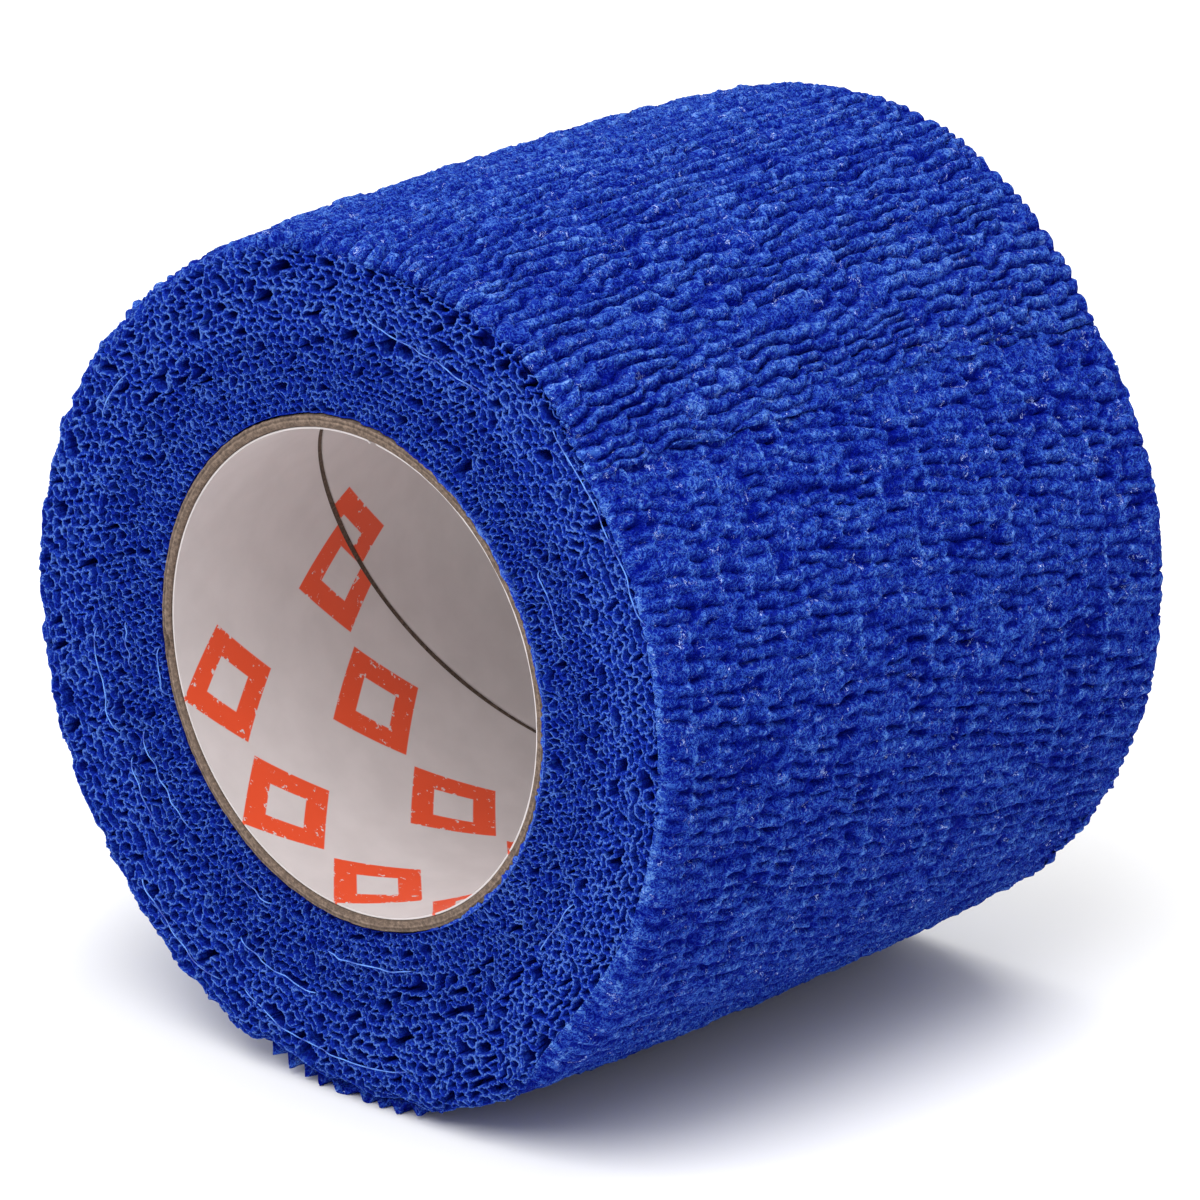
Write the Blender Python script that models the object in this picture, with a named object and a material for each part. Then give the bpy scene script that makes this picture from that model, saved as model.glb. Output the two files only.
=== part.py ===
"""Cohesive bandage roll: crinkled elastic bandage wound on a slant-wound paper-lined board core.

Metres, +Z up. The roll lies on a small flat spot, with its winding axis along Y and the
end that shows towards -Y. The origin is on the floor, under the middle of its box.
Angles round the roll start at +X and turn towards +Z.
"""

import math
from collections import namedtuple

import bmesh
import bpy

MM = 0.001

# Driving sizes of the bandage
WIDTH = 50 * MM
AXIS_HEIGHT = 30.75 * MM  # winding axis above the flat spot
CORNER = 1.6 * MM  # rounding of the outer corners
TAIL_ANGLE = math.radians(40)  # where the outermost turn ends
TAIL_STEP = 0.45 * MM  # pressed thickness of that turn
BORE_CLEARANCE = 0.3 * MM

# Crepe ridges, which run across the bandage's width
RIDGE_COUNT = 160
RIDGE_DEPTH = 0.4 * MM
RIDGE_WANDER = math.radians(0.7)  # how far a ridge strays sideways
WANDER_LENGTH = 17 * MM  # length of one stray and back
FLAT_ANGLE = math.radians(270)
FLAT_REACH = math.radians(12)  # the ridges fade out this far from the flat spot

# Pinked stretch of the front edge, where the ridges stand up as teeth
PINK_ANGLE = math.radians(252)
PINK_REACH = math.radians(24)
PINK_DEPTH = 0.9 * MM
PINK_LENGTH = 1.2 * MM  # how far back from the edge the teeth reach

# Groove that shows the winding on each end, one turn for several of the cloth's
GROOVE_TURNS = 4
GROOVE_RADIUS = 0.35 * MM
GROOVE_STEPS = 44  # points in a turn
GROOVE_MARGIN = 2.2 * MM  # left plain beside the bore and the outer edge

# Core
CORE_RADIUS = 17.6 * MM
CORE_WALL = 0.8 * MM
LINER_CLEARANCE = 0.3 * MM
LINER_WALL = 0.3 * MM
CORE_STEPS = 64
SEAM_START = math.radians(82)  # the liner's seam at the front end
SEAM_PITCH = 64.3 * MM  # length along the axis of one turn of the seam
SEAM_GAP = 0.35 * MM

# Outline of the wound cloth at three places along its width, in millimetres:
# mean radius, sideways and upward shift off the axis, and the size of its oval
# and three-lobed unevenness.
Section = namedtuple("Section", "place radius shift_x shift_z oval_cos oval_sin lobe_cos lobe_sin")
SECTIONS = (
    Section(0.0, 29.9, -0.6, -0.7, -0.3, 0.3, -0.2, 0.2),
    Section(0.5, 30.4, -0.7, -0.5, -0.2, 0.3, -0.2, 0.1),
    Section(1.0, 29.5, -0.8, -0.4, -0.2, 0.3, -0.2, 0.0),
)

# Rings of the outer face: distance from the nearer end, and share of the corner's inset
END_RINGS = ((0.0, 1.0), (0.25, 0.45), (1.0, 0.0))
BODY_RINGS = 6


def blend(place, name):
    """A value of the outline table at a place along the width, 0 in front and 1 at the back."""
    front, middle, back = (getattr(section, name) for section in SECTIONS)
    return (
        front * (1 - place) * (1 - 2 * place)
        + middle * 4 * place * (1 - place)
        + back * place * (2 * place - 1)
    )


def bump(angle, centre, reach):
    """1 at centre, falling smoothly to almost 0 at twice the reach."""
    off = (angle - centre + math.pi) % (2 * math.pi) - math.pi
    return math.exp(-((off / reach) ** 2))


def wound_radius(angle, place):
    """Radius of the wound cloth at an angle, from the tail's upper side round to its lower side."""
    radius = (
        blend(place, "radius")
        + blend(place, "shift_x") * math.cos(angle)
        + blend(place, "shift_z") * math.sin(angle)
        + blend(place, "oval_cos") * math.cos(2 * angle)
        + blend(place, "oval_sin") * math.sin(2 * angle)
        + blend(place, "lobe_cos") * math.cos(3 * angle)
        + blend(place, "lobe_sin") * math.sin(3 * angle)
    )
    turned = (angle - TAIL_ANGLE) / (2 * math.pi)
    return radius * MM + TAIL_STEP * (0.5 - turned)


def ridge_depth(angle, y):
    """Depth of the valleys between the ridges."""
    depth = RIDGE_DEPTH * (0.8 + 0.2 * math.sin(7 * angle + y / (3 * MM)))
    pinked = bump(angle, PINK_ANGLE, PINK_REACH) * math.exp(-y / PINK_LENGTH)
    depth += (PINK_DEPTH - RIDGE_DEPTH) * pinked
    return depth * (1 - bump(angle, FLAT_ANGLE, FLAT_REACH))


def outer_ring(y, inset):
    """One closed ring of points round the outer face. Its last point lies under the tail's end."""
    place = y / WIDTH
    points = []
    steps = 2 * RIDGE_COUNT
    for i in range(steps + 1):
        angle = TAIL_ANGLE + 2 * math.pi * i / steps
        fade = math.sin(math.pi * i / steps)
        stray = RIDGE_WANDER * fade * math.sin(2 * math.pi * y / WANDER_LENGTH + 5 * angle)
        valley = ridge_depth(angle, y) if i % 2 else 0
        pinked = bump(angle, PINK_ANGLE, PINK_REACH) * (y < WIDTH / 2)
        radius = wound_radius(angle, place) - valley - inset * (1 - 0.7 * pinked)
        x = radius * math.cos(angle + stray)
        z = radius * math.sin(angle + stray)
        points.append((x, y, max(z, -AXIS_HEIGHT)))
    return points


def outer_rings():
    """All rings of the outer face, from the front end to the back end."""
    rings = [(CORNER * far, CORNER * inset) for far, inset in END_RINGS]
    start, end = rings[-1][0], WIDTH - rings[-1][0]
    for i in range(1, BODY_RINGS):
        rings.append((start + (end - start) * i / BODY_RINGS, 0))
    rings += [(WIDTH - CORNER * far, CORNER * inset) for far, inset in reversed(END_RINGS)]
    return [outer_ring(y, inset) for y, inset in rings]


def loft(bm, sections):
    """Closes a solid through sections of equal point counts by extruding a face from one to the next."""
    first = bm.faces.new([bm.verts.new(point) for point in sections[0]])
    face = first
    for section in sections[1:]:
        made = bmesh.ops.extrude_face_region(bm, geom=[face])["geom"]
        if face is not first:
            bmesh.ops.delete(bm, geom=[face], context="FACES_ONLY")
        face = next(item for item in made if isinstance(item, bmesh.types.BMFace))
        for vert, point in zip(face.verts, section):
            vert.co = point
    bmesh.ops.recalc_face_normals(bm, faces=bm.faces)


def material(name, colour, roughness):
    """A plain matt material."""
    made = bpy.data.materials.new(name)
    made.use_nodes = True
    shader = made.node_tree.nodes["Principled BSDF"]
    shader.inputs["Base Color"].default_value = (*colour, 1)
    shader.inputs["Roughness"].default_value = roughness
    shader.inputs["Metallic"].default_value = 0
    made.diffuse_color = (*colour, 1)
    return made


def add_object(name, bm, parent, finish=None):
    """Makes an object of a bmesh, shaded smooth but for its sharp edges."""
    mesh = bpy.data.meshes.new(name)
    bm.to_mesh(mesh)
    bm.free()
    mesh.shade_smooth()
    mesh.set_sharp_from_angle(angle=math.radians(40))
    if finish:
        mesh.materials.append(finish)
    made = bpy.data.objects.new(name, mesh)
    made.parent = parent
    bpy.context.scene.collection.objects.link(made)
    return made


def hide_cutter(cutter):
    cutter.hide_render = True
    cutter.display_type = "WIRE"


def cut(target, cutter):
    """Takes the cutter's shape out of the target."""
    hide_cutter(cutter)
    boolean = target.modifiers.new("cut " + cutter.name, "BOOLEAN")
    boolean.operation = "DIFFERENCE"
    boolean.solver = "EXACT"
    boolean.object = cutter


def turned(bm, profile):
    """Turns a closed profile of (radius, y) points once round the winding axis."""
    verts = [bm.verts.new((radius, y, 0)) for radius, y in profile]
    edges = [bm.edges.new((a, b)) for a, b in zip(verts, verts[1:] + verts[:1])]
    bmesh.ops.spin(
        bm,
        geom=verts + edges,
        cent=(0, 0, 0),
        axis=(0, 1, 0),
        angle=2 * math.pi,
        steps=CORE_STEPS,
        use_merge=True,
    )
    bmesh.ops.recalc_face_normals(bm, faces=bm.faces)


def groove_cutter(name, y, parent):
    """A square-section wire along a spiral on one end of the roll."""
    inner = CORE_RADIUS + BORE_CLEARANCE + GROOVE_MARGIN
    curve = bpy.data.curves.new(name, "CURVE")
    curve.dimensions = "3D"
    curve.bevel_depth = GROOVE_RADIUS
    curve.bevel_resolution = 0
    curve.use_fill_caps = True
    spline = curve.splines.new("POLY")
    count = GROOVE_TURNS * GROOVE_STEPS
    spline.points.add(count)
    for i in range(count + 1):
        turns = i / GROOVE_STEPS
        angle = TAIL_ANGLE - 2 * math.pi * turns
        round_angle = (angle - TAIL_ANGLE) % (2 * math.pi) + TAIL_ANGLE
        outer = wound_radius(round_angle, y / WIDTH) - GROOVE_MARGIN
        radius = inner + (outer - inner) * turns / GROOVE_TURNS
        spline.points[i].co = (radius * math.cos(angle), y, radius * math.sin(angle), 1)
    guide = bpy.data.objects.new(name, curve)
    bpy.context.scene.collection.objects.link(guide)
    mesh = bpy.data.meshes.new_from_object(guide.evaluated_get(bpy.context.evaluated_depsgraph_get()))
    bpy.data.objects.remove(guide)
    bm = bmesh.new()
    bm.from_mesh(mesh)
    bmesh.ops.remove_doubles(bm, verts=bm.verts, dist=0.001 * MM)
    bmesh.ops.recalc_face_normals(bm, faces=bm.faces)
    return add_object(name, bm, parent)


def bandage_roll(parent):
    """The wound bandage: outer face by rings, then the bore and the winding grooves cut."""
    bm = bmesh.new()
    loft(bm, outer_rings())
    cloth = material("blue cohesive cloth", (0.012, 0.035, 0.3), 0.8)
    roll = add_object("bandage_roll", bm, parent, cloth)
    bm = bmesh.new()
    bmesh.ops.create_cone(
        bm,
        cap_ends=True,
        segments=CORE_STEPS,
        radius1=CORE_RADIUS + BORE_CLEARANCE,
        radius2=CORE_RADIUS + BORE_CLEARANCE,
        depth=2 * WIDTH,
    )
    for vert in bm.verts:
        vert.co = (vert.co.x, vert.co.z + WIDTH / 2, -vert.co.y)
    cut(roll, add_object("bore cutter", bm, parent))
    cut(roll, groove_cutter("front groove", 0, parent))
    cut(roll, groove_cutter("back groove", WIDTH, parent))
    return roll


def core_tube(parent):
    """The board tube, as long as the bandage is wide."""
    bm = bmesh.new()
    inner = CORE_RADIUS - CORE_WALL
    turned(bm, [(inner, 0), (CORE_RADIUS, 0), (CORE_RADIUS, WIDTH), (inner, WIDTH)])
    board = material("grey-brown core board", (0.24, 0.19, 0.14), 0.9)
    return add_object("core_tube", bm, parent, board)


def core_liner(parent):
    """The paper ply inside the tube: one strip wound on a slant, its edges a seam gap apart."""
    outer = CORE_RADIUS - CORE_WALL - LINER_CLEARANCE
    inner = outer - LINER_WALL
    steps = 2 * CORE_STEPS
    first = SEAM_START - 2 * math.pi
    last = SEAM_START + 2 * math.pi * WIDTH / SEAM_PITCH
    sections = []
    for i in range(1, steps):
        angle = first + (last - first) * i / steps
        seam = SEAM_PITCH * (angle - SEAM_START) / (2 * math.pi)
        low = max(0, seam + SEAM_GAP / 2)
        high = min(WIDTH, seam + SEAM_PITCH - SEAM_GAP / 2)
        corners = ((inner, low), (outer, low), (outer, high), (inner, high))
        sections.append([(r * math.cos(angle), y, r * math.sin(angle)) for r, y in corners])
    bm = bmesh.new()
    loft(bm, sections)
    paper = material("white liner paper", (0.62, 0.61, 0.62), 0.7)
    return add_object("core_liner", bm, parent, paper)


def main():
    for item in list(bpy.data.objects):
        bpy.data.objects.remove(item)
    points = [point for ring in outer_rings() for point in ring]
    sides = [point[0] for point in points]
    middle = (min(sides) + max(sides)) / 2
    axis = bpy.data.objects.new("winding axis", None)
    axis.location = (-middle, -WIDTH / 2, AXIS_HEIGHT)
    bpy.context.scene.collection.objects.link(axis)
    bandage_roll(axis)
    core_tube(axis)
    core_liner(axis)


main()
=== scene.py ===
import math

import bmesh
import bpy
import numpy as np
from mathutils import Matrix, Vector


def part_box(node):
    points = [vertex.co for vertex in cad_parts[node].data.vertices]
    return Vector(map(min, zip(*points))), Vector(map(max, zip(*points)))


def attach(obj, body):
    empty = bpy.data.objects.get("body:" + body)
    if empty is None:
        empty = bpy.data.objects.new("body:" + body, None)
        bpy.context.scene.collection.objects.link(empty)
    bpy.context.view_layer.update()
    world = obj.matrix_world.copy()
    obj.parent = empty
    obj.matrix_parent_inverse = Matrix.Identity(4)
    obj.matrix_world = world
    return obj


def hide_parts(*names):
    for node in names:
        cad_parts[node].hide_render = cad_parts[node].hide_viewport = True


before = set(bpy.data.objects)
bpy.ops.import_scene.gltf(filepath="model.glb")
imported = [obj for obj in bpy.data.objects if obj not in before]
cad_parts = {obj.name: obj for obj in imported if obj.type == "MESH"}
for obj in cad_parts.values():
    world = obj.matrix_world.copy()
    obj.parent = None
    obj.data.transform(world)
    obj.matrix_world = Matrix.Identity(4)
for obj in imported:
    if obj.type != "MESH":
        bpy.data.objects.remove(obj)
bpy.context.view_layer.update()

print("cohesive bandage roll: crinkled cloth wound on a paper-lined board core")
mm = 0.001
turn = 2 * math.pi
# in millimetres: the winding axis at the front end, the roll's width and the board tube's outer radius
tubeLow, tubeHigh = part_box("core_tube")
clothLow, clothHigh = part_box("bandage_roll")
axis = Vector(((tubeLow.x + tubeHigh.x) / 2, clothLow.y, (tubeLow.z + tubeHigh.z) / 2)) / mm
width = (clothHigh.y - clothLow.y) / mm
coreRadius = (tubeHigh.x - tubeLow.x) / 2 / mm

# the wound form, as the solid has it: millimetres, and angles from +X towards +Z;
# three figures are for the front end, the middle and the back end
form = {
    "radius": (29.9, 30.4, 29.5),
    "shiftX": (-0.6, -0.7, -0.8),
    "shiftZ": (-0.7, -0.5, -0.4),
    "ovalCos": (-0.3, -0.2, -0.2),
    "ovalSin": (0.3, 0.3, 0.3),
    "lobeCos": (-0.2, -0.2, -0.2),
    "lobeSin": (0.2, 0.1, 0.0),
    "meanRadius": 30.0,  # turns an angle to a length round the outside
    "tailAngle": math.radians(40),
    "tailStep": 0.45,
    "corner": 1.6,
    "pinkAngle": math.radians(266),  # the middle and half the length of the pinked stretch
    "pinkReach": math.radians(18),
    "pinkDepth": 1.2,
    "bottom": 270,  # where it stands, degrees
}


def acrossWidth(name, place):
    # a figure of the form at a place from 0, the front end, to 1, the back end
    front, middle, back = form[name]
    bow = 4 * place * (1 - place)
    return front * (1 - place) * (1 - 2 * place) + middle * bow + back * place * (2 * place - 1)


def evenRadius(angle, place):
    # the outer radius without the step at the tail
    radius = acrossWidth("radius", place)
    radius = radius + acrossWidth("shiftX", place) * np.cos(angle)
    radius = radius + acrossWidth("shiftZ", place) * np.sin(angle)
    radius = radius + acrossWidth("ovalCos", place) * np.cos(2 * angle)
    radius = radius + acrossWidth("ovalSin", place) * np.sin(2 * angle)
    radius = radius + acrossWidth("lobeCos", place) * np.cos(3 * angle)
    return radius + acrossWidth("lobeSin", place) * np.sin(3 * angle)


def woundRadius(angle, place):
    # the outer radius, for angles from the tail's upper side to its lower side, one turn on
    return evenRadius(angle, place) + form["tailStep"] * (0.5 - (angle - form["tailAngle"]) / turn)


def ease(value, low, high):
    # 0 below low, 1 above high and smooth between
    value = np.clip((value - low) / (high - low), 0, 1)
    return value * value * (3 - 2 * value)


def turnedFrom(angle, centre):
    # the angle from a centre, the short way round
    return np.mod(angle - centre + math.pi, turn) - math.pi


def near(angle, centre, reach):
    # 1 at a place round the roll, falling to 0 over its reach; the last two are in degrees
    return np.exp(-((turnedFrom(angle, math.radians(centre)) / math.radians(reach)) ** 2))


def place3d(angle, radius, y):
    # points in metres from an angle, a radius and a distance from the front end, clear of the floor
    x = axis.x + radius * np.cos(angle)
    z = axis.z + radius * np.sin(angle)
    return np.stack([x, axis.y + y, np.maximum(z, 0.0)], -1) * mm


latticeSize = (509, 127)


def lattice(seed):
    return np.random.default_rng(seed).uniform(-1, 1, latticeSize)


def cellValue(x, y, seed):
    # one random value from -1 to 1 for each whole cell
    x, y = np.broadcast_arrays(x, y)
    columns = np.floor(x).astype(int) % latticeSize[0]
    rows = np.floor(y).astype(int) % latticeSize[1]
    return lattice(seed)[columns, rows]


def drift(x, y, seed):
    # smooth noise from -1 to 1 that changes over a distance of 1
    x, y = np.broadcast_arrays(np.asarray(x, float), np.asarray(y, float))
    values = lattice(seed)
    ix, iy = np.floor(x).astype(int), np.floor(y).astype(int)
    fx, fy = x - ix, y - iy
    fx, fy = fx * fx * (3 - 2 * fx), fy * fy * (3 - 2 * fy)
    left, right = ix % latticeSize[0], (ix + 1) % latticeSize[0]
    low, high = iy % latticeSize[1], (iy + 1) % latticeSize[1]
    lower = values[left, low] * (1 - fx) + values[right, low] * fx
    upper = values[left, high] * (1 - fx) + values[right, high] * fx
    return lower * (1 - fy) + upper * fy


def withWaves(value, x, y, layers, seed=0):
    # a value with drifts laid over it: for each its height, its length along x and along y, and its seed
    for height, long, wide, number in layers:
        value = value + height * drift(x / long, y / wide, seed + number)
    return value


# how far the mean surface lies under the solid's, so that its crests reach the outline, mm and degrees
sinking = {
    "mean": 0.3,
    "oval": 0.2,
    "ovalAngle": 118,
    "standReach": 12,
    # shallow dents, or swellings where the depth is negative: end (0 front, 1 back), angle, reach, depth
    "dents": (
        (0, 108, 18, -0.5),
        (0, 150, 6, -0.3),
        (0, 192, 6, 0.25),
        (0, 289, 8, 0.5),
        (1, 75, 10, -0.35),
        (1, 42, 14, 0.5),
        (1, 15, 8, -0.25),
        (1, -10, 26, -0.55),
        (1, 308, 10, -0.2),
    ),
}


def sunk(angle, place):
    # none where it stands
    low = sinking["mean"] + sinking["oval"] * np.cos(2 * (angle - math.radians(sinking["ovalAngle"])))
    for end, middle, reach, depth in sinking["dents"]:
        share = (place if end else 1 - place) ** 3
        low = low + depth * share * near(angle, middle, reach)
    return low * (1 - near(angle, form["bottom"], sinking["standReach"]))


# the last turn's cut edge in front: how far round the corner it lies, all in degrees but the corner
frontEdge = {
    "foldMiddle": -3,  # on the right it folds over the corner
    "foldReach": (47, 66),  # the fold is whole up to the first distance and gone past the second
    "foldStart": 22,
    "plainStart": 74,
    "topMiddle": 88,
    "topReach": 30,
    "topStart": 42,  # how much less far it lies at the top
    "wideMiddle": -42,
    "wideReach": 15,
    "wideCorner": 1.1,  # how much wider the corner is low on the right, mm
}


def curled(angle):
    # 1 on the right of the front end, where the last turn folds over the corner, and 0 elsewhere
    off = np.abs(turnedFrom(angle, math.radians(frontEdge["foldMiddle"])))
    inside, outside = (math.radians(reach) for reach in frontEdge["foldReach"])
    return 1 - ease(off, inside, outside)


def frontCorner(angle):
    # the radius of the front corner
    wider = near(angle, frontEdge["wideMiddle"], frontEdge["wideReach"])
    return form["corner"] + frontEdge["wideCorner"] * wider


def rimStart(angle):
    # how far round the front corner the cut edge lies
    fold = curled(angle)
    top = near(angle, frontEdge["topMiddle"], frontEdge["topReach"])
    plain = math.radians(frontEdge["plainStart"]) - math.radians(frontEdge["topStart"]) * top
    return fold * math.radians(frontEdge["foldStart"]) + (1 - fold) * plain


def pinked(angle):
    # 1 where the front edge is cut to teeth, and 0 elsewhere
    off = np.abs(turnedFrom(angle, form["pinkAngle"]))
    return 1 - ease(off, form["pinkReach"] * 0.6, form["pinkReach"])


def gridMesh(columns, rows):
    # a flat grid, and the column and row number of each of its points
    bm = bmesh.new()
    bmesh.ops.create_grid(bm, x_segments=columns, y_segments=rows, size=1)
    flat = np.array([vert.co[:2] for vert in bm.verts])
    column = np.rint((flat[:, 0] + 1) / 2 * columns).astype(int)
    row = np.rint((flat[:, 1] + 1) / 2 * rows).astype(int)
    return bm, column, row


def moveTo(bm, points):
    for vert, point in zip(bm.verts, points.tolist()):
        vert.co = point


def giveValues(bm, name, values):
    # keeps one number on each point, for the finishes to read
    layer = bm.verts.layers.float.new(name)
    for vert, value in zip(bm.verts, values.tolist()):
        vert[layer] = value


def weld(bm):
    bmesh.ops.remove_doubles(bm, verts=bm.verts, dist=0.0005 * mm)
    bmesh.ops.holes_fill(bm, edges=[edge for edge in bm.edges if edge.is_boundary], sides=0)
    bmesh.ops.recalc_face_normals(bm, faces=bm.faces)


def spunRing(profile, steps):
    # a closed ring from the points of its section, and the angle, radius and y of each of its points
    bm = bmesh.new()
    verts = [bm.verts.new((radius, y, 0)) for radius, y in profile]
    edges = [bm.edges.new(pair) for pair in zip(verts, verts[1:] + verts[:1])]
    whole = {"axis": (0, 1, 0), "cent": (0, 0, 0), "angle": turn, "use_merge": True}
    bmesh.ops.spin(bm, geom=verts + edges, steps=steps, **whole)
    where = np.array([vert.co[:] for vert in bm.verts])
    return bm, np.arctan2(where[:, 2], where[:, 0]), np.hypot(where[:, 0], where[:, 2]), where[:, 1]


def addPiece(name, bm, finish, node, sharp=None):
    # a piece of the roll, in place of its plain solid
    mesh = bpy.data.meshes.new(name)
    bm.to_mesh(mesh)
    bm.free()
    mesh.shade_smooth()
    if sharp:
        mesh.set_sharp_from_angle(angle=math.radians(sharp))
    mesh.materials.append(finish)
    piece = bpy.data.objects.new(name, mesh)
    bpy.context.scene.collection.objects.link(piece)
    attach(piece, "root")
    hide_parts(node)
    mesh.calc_loop_triangles()
    print(name, len(mesh.loop_triangles), "triangles")


def linear(colour):
    # an sRGB hex colour as linear red, green, blue and alpha
    channels = [int(colour[i:i + 2], 16) / 255 for i in (1, 3, 5)]
    return [c / 12.92 if c < 0.04045 else ((c + 0.055) / 1.055) ** 2.4 for c in channels] + [1.0]


def every(size):
    # the scale that sets a pattern's features this many millimetres apart
    return 1 / (size * mm)


# what the finishes are mixed from
noise = "ShaderNodeTexNoise"
maths = "ShaderNodeMath"
mapRange = "ShaderNodeMapRange"
mix = "ShaderNodeMix"
bump = "ShaderNodeBump"
ramp = "ShaderNodeValToRGB"
attribute = "ShaderNodeAttribute"
coordinates = "ShaderNodeTexCoord"


def addNode(tree, kind, inputs=(), output=0, stops=(), **settings):
    # an input is a value or the output that feeds it, and the stops are a ramp's places and colours
    node = tree.nodes.new(kind)
    for name, value in settings.items():
        setattr(node, name, value)
    for name, value in dict(inputs).items():
        if isinstance(value, bpy.types.NodeSocket):
            tree.links.new(value, node.inputs[name])
        else:
            node.inputs[name].default_value = value
    for number, (place, colour) in enumerate(stops):
        element = node.color_ramp.elements[number] if number < 2 else node.color_ramp.elements.new(1.0)
        element.position = place
        element.color = linear(colour)
    return node.outputs[output]


def newMaterial(name, **sockets):
    # a material and its shader, with the values that are the same all over it
    material = bpy.data.materials.new(name)
    material.use_nodes = True
    shader = material.node_tree.nodes["Principled BSDF"]
    for socket, value in sockets.items():
        shader.inputs[socket.replace("_", " ")].default_value = value
    return material, material.node_tree, shader


def offMiddle(tree, level):
    # how far a noise lies off its middle value, so 0 along winding lines
    level = addNode(tree, maths, {0: level, 1: 0.5}, operation="SUBTRACT")
    return addNode(tree, maths, {0: level}, operation="ABSOLUTE")


def curledFibres(tree, spot, gap, tones):
    # curly lines, bright on a darker ground, and how far each point is off them;
    # the real fibres are 0.02 mm thick, so they are drawn coarser to show
    level = addNode(tree, noise, {"Vector": spot, "Scale": every(gap), "Detail": 1.0, "Distortion": 1.2})
    off = offMiddle(tree, level)
    bright, dark = tones
    ends = {"From Min": 0.015, "From Max": 0.1, "To Min": bright, "To Max": dark}
    return off, addNode(tree, mapRange, {"Value": off, **ends})


clothLook = {
    # the colours run from painted shade in the deepest creases to painted highlight on the crests
    "stops": (
        (0.0, "#010c72"),
        (0.3, "#0c1d83"),
        (0.55, "#1b399c"),
        (0.8, "#335ab1"),
        (1.0, "#577fc9"),
    ),
    # pale fibre strands, painted as highlights
    "strandHighlight": "#7fa2ea",
    "glint": "#b0c4ff",
    # the distances between the features of each pattern, mm
    "mottle": 0.7,
    "curl": 0.38,
    "strandGap": 0.9,
    "latex": 0.32,
    "wrinkle": 0.65,
    # how far along the colours each moves the tone
    "mottleTone": 0.1,
    # how far the painted shade and highlight of the relief, with its pale thread lines, move the tone
    "paintedShadingAndThreadsTone": 0.84,
    "curlTones": (0.31, -0.2),
    "wrinkleDepth": 0.55,  # mm
    "curlDepth": 0.14,
}


def crepedCloth():
    # latex-coated nonwoven polyester: saturated blue, with painted shade in its folds and painted highlight
    # on its crests, crumples, pale strands painted as highlights and small painted wet glints
    look = clothLook
    material, tree, shader = newMaterial(
        "latexCoatedNonwoven", Roughness=0.85, Metallic=0.0, IOR=1.5, Specular_IOR_Level=0.02
    )
    spot = addNode(tree, coordinates, output="Object")
    # painted shade and highlight from the relief, with pale thread lines
    paintedShadingAndThreads = addNode(tree, attribute, output="Fac", attribute_name="paintedShadingAndThreads")
    mottle = addNode(
        tree, noise, {"Vector": spot, "Scale": every(look["mottle"]), "Detail": 3.0, "Roughness": 0.65}
    )
    ends = {"From Min": 0.3, "From Max": 0.7, "To Min": -look["mottleTone"], "To Max": look["mottleTone"]}
    mottleTone = addNode(tree, mapRange, {"Value": mottle, **ends})
    paintedShadingAndThreadsTone = addNode(tree, mapRange, {"Value": paintedShadingAndThreads, "To Min": 0.0, "To Max": look["paintedShadingAndThreadsTone"]})
    offCurl, curlTone = curledFibres(tree, spot, look["curl"], look["curlTones"])
    uneven = addNode(tree, maths, {0: curlTone, 1: mottleTone}, operation="ADD")
    tone = addNode(tree, maths, {0: uneven, 1: paintedShadingAndThreadsTone}, operation="ADD")
    colour = addNode(tree, ramp, {"Fac": tone}, stops=look["stops"])
    # a few longer pale fibre strands, painted as highlights, where another noise lets them show and only on
    # the lit crests
    level = addNode(
        tree, noise, {"Vector": spot, "Scale": every(look["strandGap"]), "Detail": 1.0, "Distortion": 1.0}
    )
    ends = {"From Min": 0.006, "From Max": 0.022, "To Min": 1.0, "To Max": 0.0}
    line = addNode(tree, mapRange, {"Value": offMiddle(tree, level), **ends})
    ends = {"From Min": 0.52, "From Max": 0.6, "To Min": 0.0, "To Max": 0.95}
    shown = addNode(tree, mapRange, {"Value": mottle, **ends})
    strandHighlight = addNode(tree, maths, {0: line, 1: shown}, operation="MULTIPLY")
    strandHighlight = addNode(tree, maths, {0: strandHighlight, 1: paintedShadingAndThreadsTone}, operation="MULTIPLY")
    whole = addNode(
        tree, mix, {0: strandHighlight, 6: colour, 7: linear(look["strandHighlight"])}, output=2, data_type="RGBA"
    )
    # small curved glints of wet latex, in a few patches; the real ones are 0.05 mm wide, so they are
    # drawn coarser to show
    latex = addNode(
        tree, noise, {"Vector": spot, "Scale": every(look["latex"]), "Detail": 0.0, "Distortion": 1.5}
    )
    ends = {"From Min": 0.01, "From Max": 0.05, "To Min": 1.0, "To Max": 0.0}
    glint = addNode(tree, mapRange, {"Value": offMiddle(tree, latex), **ends})
    ends = {"From Min": 0.66, "From Max": 0.72, "To Min": 0.0, "To Max": 0.9}
    patch = addNode(tree, mapRange, {"Value": level, **ends})
    glint = addNode(tree, maths, {0: glint, 1: patch}, operation="MULTIPLY")
    whole = addNode(tree, mix, {0: glint, 6: whole, 7: linear(look["glint"])}, output=2, data_type="RGBA")
    tree.links.new(whole, shader.inputs["Base Color"])
    wrinkle = addNode(
        tree, noise, {"Vector": spot, "Scale": every(look["wrinkle"]), "Detail": 2.0, "Roughness": 0.6}
    )
    wrinkle = offMiddle(tree, wrinkle)
    low = addNode(tree, bump, {"Height": wrinkle, "Distance": look["wrinkleDepth"] * mm, "Strength": 1.0})
    fine = addNode(
        tree,
        bump,
        {"Height": offCurl, "Distance": look["curlDepth"] * mm, "Strength": 1.0, "Normal": low},
        invert=True,
    )
    tree.links.new(fine, shader.inputs["Normal"])
    return material


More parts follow.
